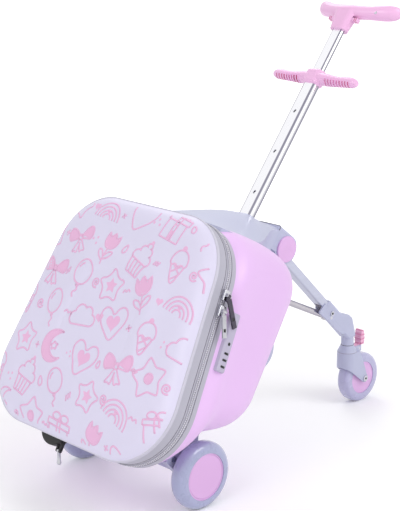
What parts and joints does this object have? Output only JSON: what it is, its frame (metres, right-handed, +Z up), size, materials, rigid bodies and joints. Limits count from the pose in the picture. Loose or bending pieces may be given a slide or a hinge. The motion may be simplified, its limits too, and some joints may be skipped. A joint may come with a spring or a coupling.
{
  "type": "ride-on suitcase",
  "caption": "Child's ride-on trolley case: hard tapered shell with zip-round printed lid, saddle cap, telescopic rod with handlebar and grip, rear wheels and a fold-out swivelling front caster.",
  "frame": {"origin": "on the floor under the middle of the whole part's box, in the riding pose", "axes": "+X forwards, the way the child rides; +Y to the rider's left; +Z up"},
  "size_m": [0.5962, 0.3254, 0.5857],
  "materials": {
    "pink_shell": "satin moulded",
    "print_shell": "printed film, satin",
    "grey_band": "woven tape",
    "grey_piping": "satin",
    "zip_teeth": "satin",
    "lining": "plain weave",
    "lilac_plastic": "satin moulded",
    "steel": "plated",
    "pink_plastic": "satin moulded",
    "lilac_tyre": "smooth",
    "aluminium_tube": "bright drawn",
    "dark_plastic": "satin",
    "deep_pink_plastic": "satin moulded",
    "polished_rod": "polished",
    "polished_zip": "polished",
    "lock_plastic": "satin moulded",
    "dial_plastic": "satin",
    "grey_plastic": "satin"
  },
  "bodies": {
    "case": {"back_shell": "pink_shell", "zip_band": "grey_band", "zip_chain": "zip_teeth", "inner_divider": "lining", "lid_hinge_strip": "grey_band", "seat_cap": "lilac_plastic", "rod_guide": "lilac_plastic", "hinge_head": "lilac_plastic", "hinge_pin": "steel", "hinge_disc_right": "pink_plastic", "hinge_disc_left": "pink_plastic", "back_plate": "lilac_plastic", "wheel_bracket_right": "lilac_plastic", "wheel_bracket_left": "lilac_plastic", "bracket_screws": "steel", "rear_axle": "steel", "axle_crossbar": "lilac_plastic", "lock_body": "lock_plastic", "zip_end": "dark_plastic"},
    "lid": {"lid_shell": "print_shell", "lid_band": "grey_band", "lid_piping": "grey_piping"},
    "upper_slider": {"zip_slider_upper": "polished_zip"},
    "upper_pull": {"zip_pull_upper": "polished_zip"},
    "lower_slider": {"zip_slider_lower": "polished_zip"},
    "lower_pull": {"zip_pull_lower": "polished_zip"},
    "drop_pull": {"drop_pull": "grey_plastic"},
    "dial_1": {"lock_dial_1": "dial_plastic"},
    "dial_2": {"lock_dial_2": "dial_plastic"},
    "dial_3": {"lock_dial_3": "dial_plastic"},
    "lower_rod": {"lower_tube": "aluminium_tube", "lower_tube_plug": "dark_plastic", "child_bar": "pink_plastic"},
    "upper_rod": {"upper_tube": "aluminium_tube", "upper_tube_plug": "dark_plastic", "grip_handle": "pink_plastic", "handle_screw": "steel"},
    "trigger": {"release_trigger": "deep_pink_plastic"},
    "arm": {"arm_tube": "aluminium_tube", "knuckle": "lilac_plastic", "knuckle_screws": "steel", "stay_pivot_pin": "steel", "swivel_bush": "dark_plastic"},
    "stay": {"stay_tube": "polished_rod", "stay_cross_pin": "steel"},
    "caster": {"caster_fork": "lilac_plastic", "kingpin": "steel", "caster_axle": "steel", "pedal_pin": "steel"},
    "caster_wheel": {"caster_tyre": "lilac_tyre", "caster_hub": "pink_plastic"},
    "pedal": {"brake_pedal": "deep_pink_plastic"},
    "rear_wheel_right": {"rear_tyre_right": "lilac_tyre", "rear_hub_right": "pink_plastic", "hub_cover_right": "pink_plastic"},
    "rear_wheel_left": {"rear_tyre_left": "lilac_tyre", "rear_hub_left": "pink_plastic", "hub_cover_left": "pink_plastic"}
  },
  "joints": [
    {"name": "lid_hinge", "type": "hinge", "parent": "case", "child": "lid", "pos_m": [-0.19945, 0.15294, 0.21412], "axis": [-0.497, 0.1095, -0.8608], "range_deg": [0, 110]},
    {"name": "upper_slider_run", "type": "slide", "parent": "case", "child": "upper_slider", "axis": [0.497, 0.1095, 0.8608], "range_m": [0, 0.03]},
    {"name": "upper_pull_lift", "type": "hinge", "parent": "upper_slider", "child": "upper_pull", "pos_m": [-0.16209, -0.15145, 0.27884], "axis": [-0.866, 0, 0.5], "range_deg": [0, 80]},
    {"name": "lower_slider_run", "type": "slide", "parent": "case", "child": "lower_slider", "axis": [-0.497, -0.1095, -0.8608], "range_m": [0, 0.06]},
    {"name": "lower_pull_lift", "type": "hinge", "parent": "lower_slider", "child": "lower_pull", "pos_m": [-0.17159, -0.15354, 0.26239], "axis": [-0.866, 0, 0.5], "range_deg": [0, 80]},
    {"name": "drop_pull_swing", "type": "hinge", "parent": "case", "child": "drop_pull", "pos_m": [-0.28357, 0.0215, 0.06843], "axis": [0, 1, 0], "range_deg": [-30, 30]},
    {"name": "dial_1_turn", "type": "hinge", "parent": "case", "child": "dial_1", "pos_m": [-0.18085, -0.15926, 0.19834], "axis": [0.497, 0.1095, 0.8608], "continuous": true},
    {"name": "dial_2_turn", "type": "hinge", "parent": "case", "child": "dial_2", "pos_m": [-0.17685, -0.15838, 0.20527], "axis": [0.497, 0.1095, 0.8608], "continuous": true},
    {"name": "dial_3_turn", "type": "hinge", "parent": "case", "child": "dial_3", "pos_m": [-0.17285, -0.1575, 0.2122], "axis": [0.497, 0.1095, 0.8608], "continuous": true},
    {"name": "lower_rod_slide", "type": "slide", "parent": "case", "child": "lower_rod", "axis": [0.6074, 0, 0.7944], "range_m": [-0.19, 0]},
    {"name": "upper_rod_slide", "type": "slide", "parent": "lower_rod", "child": "upper_rod", "axis": [0.6074, 0, 0.7944], "range_m": [-0.055, 0.12]},
    {"name": "trigger_squeeze", "type": "slide", "parent": "upper_rod", "child": "trigger", "axis": [0.6074, 0, 0.7944], "range_m": [0, 0.0027], "stiffness_N_per_m": 400},
    {"name": "arm_fold", "type": "hinge", "parent": "case", "child": "arm", "pos_m": [0.06909, 0, 0.27102], "axis": [0, 1, 0], "range_deg": [0, 70]},
    {"name": "stay_turn", "type": "hinge", "parent": "arm", "child": "stay", "pos_m": [0.18689, 0, 0.14544], "axis": [0, 1, 0], "range_deg": [0, 10.6]},
    {"name": "caster_swivel", "type": "hinge", "parent": "arm", "child": "caster", "pos_m": [0.23509, 0, 0.0925], "axis": [0, 0, 1], "continuous": true},
    {"name": "caster_roll", "type": "hinge", "parent": "caster", "child": "caster_wheel", "pos_m": [0.26109, 0, 0.037], "axis": [0, 1, 0], "continuous": true},
    {"name": "brake_press", "type": "hinge", "parent": "caster", "child": "pedal", "pos_m": [0.25509, 0, 0.0835], "axis": [0, 1, 0], "range_deg": [0, 18], "stiffness_Nm_per_rad": 0.6},
    {"name": "rear_roll_right", "type": "hinge", "parent": "case", "child": "rear_wheel_right", "pos_m": [-0.16803, -0.1095, 0.0432], "axis": [0, 1, 0], "continuous": true},
    {"name": "rear_roll_left", "type": "hinge", "parent": "case", "child": "rear_wheel_left", "pos_m": [-0.16803, 0.1095, 0.0432], "axis": [0, 1, 0], "continuous": true}
  ],
  "couplings": [
    {"joint": "stay_turn", "follows": "arm_fold", "ratio": 0.15143}
  ]
}
